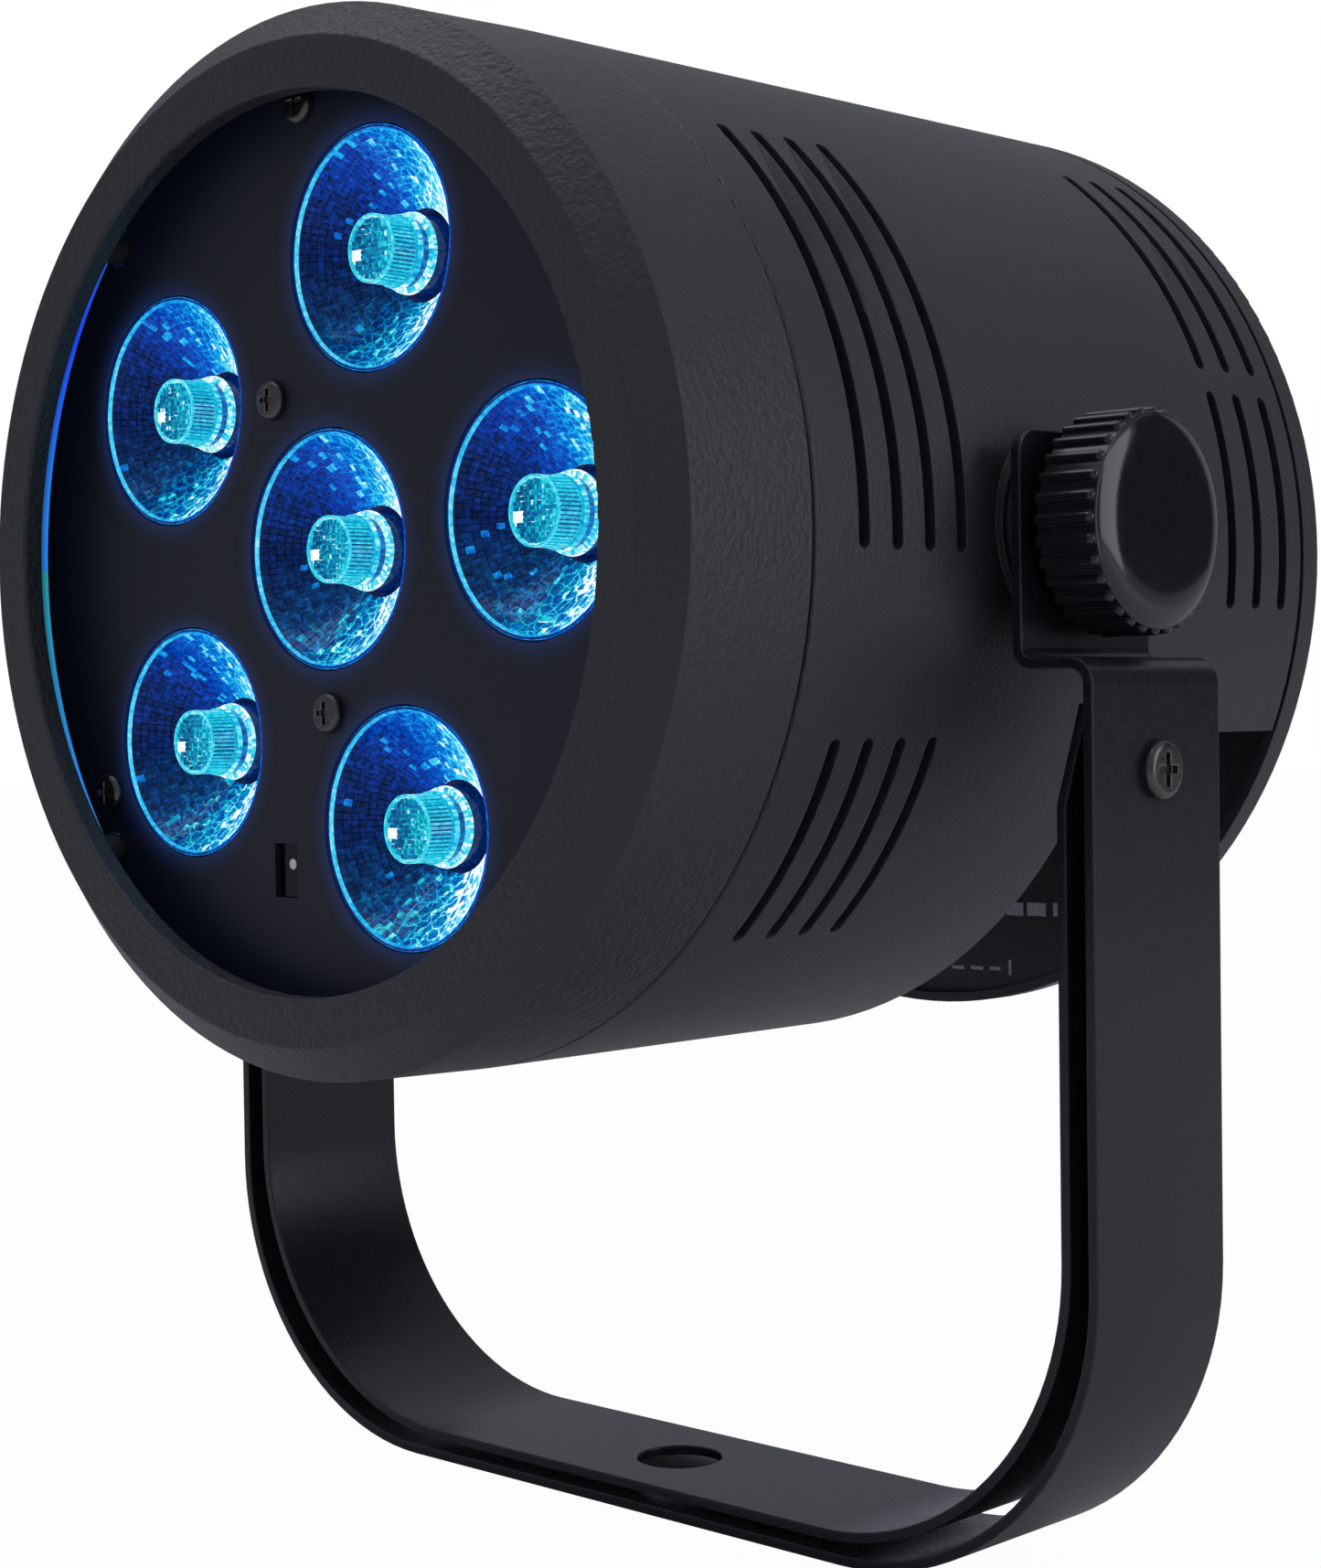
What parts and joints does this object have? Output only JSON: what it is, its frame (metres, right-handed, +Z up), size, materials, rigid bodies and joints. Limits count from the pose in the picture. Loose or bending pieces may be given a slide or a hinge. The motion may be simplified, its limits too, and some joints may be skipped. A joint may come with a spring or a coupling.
{
  "type": "par can light",
  "caption": "Round black LED par can light with clear collimator lenses, held by side knobs in a flat-bar yoke with a second folding bracket.",
  "frame": {"origin": "centre of the outer yoke's bolt hole, on the yoke's underside", "axes": "+Z up from the yoke's foot to the lamp, lamp shines towards -Y, +X along the tilt axis"},
  "size_m": [0.1822, 0.1442, 0.216],
  "materials": {
    "aluminium": "extruded",
    "board_green": "solder mask",
    "brass": "turned",
    "holder_black": "matt",
    "knob_black": "satin with a polished cap",
    "led_lit": "emissive",
    "lens_clear": "clear moulded, lit blue",
    "moulded_black": "fine spark-eroded grain",
    "nylon": "matt",
    "overlay": "printed film",
    "rubber": "matt",
    "screw_black": "black oxide",
    "steel": "zinc plated",
    "window_dark": "dark tinted",
    "yoke_black": "satin black powder coat"
  },
  "bodies": {
    "yoke": {"outer_yoke": "yoke_black", "pivot_screw_left": "screw_black", "pivot_screw_right": "screw_black", "pivot_spacers": "nylon", "pivot_nuts": "steel"},
    "head": {"bezel_screws": "steel", "board_standoffs": "brass", "body_shell": "moulded_black", "chassis_tray": "steel", "connector_plate": "steel", "connector_plate_screws": "steel", "control_overlay": "overlay", "data_in_socket": "screw_black", "data_out_socket": "knob_black", "display_board": "board_green", "display_module": "window_dark", "display_window": "window_dark", "driver_board": "board_green", "friction_washer_left": "rubber", "friction_washer_right": "rubber", "front_bezel": "moulded_black", "front_plate": "moulded_black", "fuse_drawer": "knob_black", "heat_sink": "aluminium", "heat_sink_screws": "steel", "infrared_receiver": "window_dark", "led_1": "led_lit", "led_2": "led_lit", "led_3": "led_lit", "led_4": "led_lit", "led_5": "led_lit", "led_6": "led_lit", "led_board": "aluminium", "lens_1": "lens_clear", "lens_2": "lens_clear", "lens_3": "lens_clear", "lens_4": "lens_clear", "lens_5": "lens_clear", "lens_6": "lens_clear", "lens_holder": "holder_black", "plate_screws": "screw_black", "plate_standoffs": "brass", "power_inlet": "knob_black", "power_supply_board": "board_green", "rear_cap": "moulded_black", "rear_cap_screws": "screw_black", "sensor_window": "window_dark", "threaded_insert_left": "brass", "threaded_insert_right": "brass", "tray_screws": "steel"},
    "bracket": {"floor_bracket": "yoke_black"},
    "knob_right": {"knob_right": "knob_black", "knob_stud_right": "steel"},
    "knob_left": {"knob_left": "knob_black", "knob_stud_left": "steel"},
    "menu_button": {"menu_button": "knob_black"},
    "down_button": {"down_button": "knob_black"},
    "up_button": {"up_button": "knob_black"},
    "enter_button": {"enter_button": "knob_black"},
    "data_out_latch": {"data_out_latch": "knob_black"}
  },
  "joints": [
    {"name": "head_tilt", "type": "hinge", "parent": "yoke", "child": "head", "pos_m": [0, 0, 0.1444], "axis": [1, 0, 0], "range_deg": [-180, 180]},
    {"name": "bracket_swing", "type": "hinge", "parent": "yoke", "child": "bracket", "pos_m": [0, 0, 0.1116], "axis": [1, 0, 0], "range_deg": [-75, 75]},
    {"name": "knob_right_turn", "type": "hinge", "parent": "head", "child": "knob_right", "pos_m": [0.08, 0, 0.1444], "axis": [1, 0, 0], "range_deg": [0, 360]},
    {"name": "knob_left_turn", "type": "hinge", "parent": "head", "child": "knob_left", "pos_m": [-0.08, 0, 0.1444], "axis": [-1, 0, 0], "range_deg": [0, 360]},
    {"name": "menu_button_press", "type": "slide", "parent": "head", "child": "menu_button", "axis": [0, -1, 0], "range_m": [0, 0.0006], "stiffness_N_per_m": 900, "springref_m": -0.0006},
    {"name": "down_button_press", "type": "slide", "parent": "head", "child": "down_button", "axis": [0, -1, 0], "range_m": [0, 0.0006], "stiffness_N_per_m": 900, "springref_m": -0.0006},
    {"name": "up_button_press", "type": "slide", "parent": "head", "child": "up_button", "axis": [0, -1, 0], "range_m": [0, 0.0006], "stiffness_N_per_m": 900, "springref_m": -0.0006},
    {"name": "enter_button_press", "type": "slide", "parent": "head", "child": "enter_button", "axis": [0, -1, 0], "range_m": [0, 0.0006], "stiffness_N_per_m": 900, "springref_m": -0.0006},
    {"name": "data_out_latch_press", "type": "slide", "parent": "head", "child": "data_out_latch", "axis": [0, 0, 1], "range_m": [0, 0.0009], "stiffness_N_per_m": 900, "springref_m": -0.0006}
  ]
}
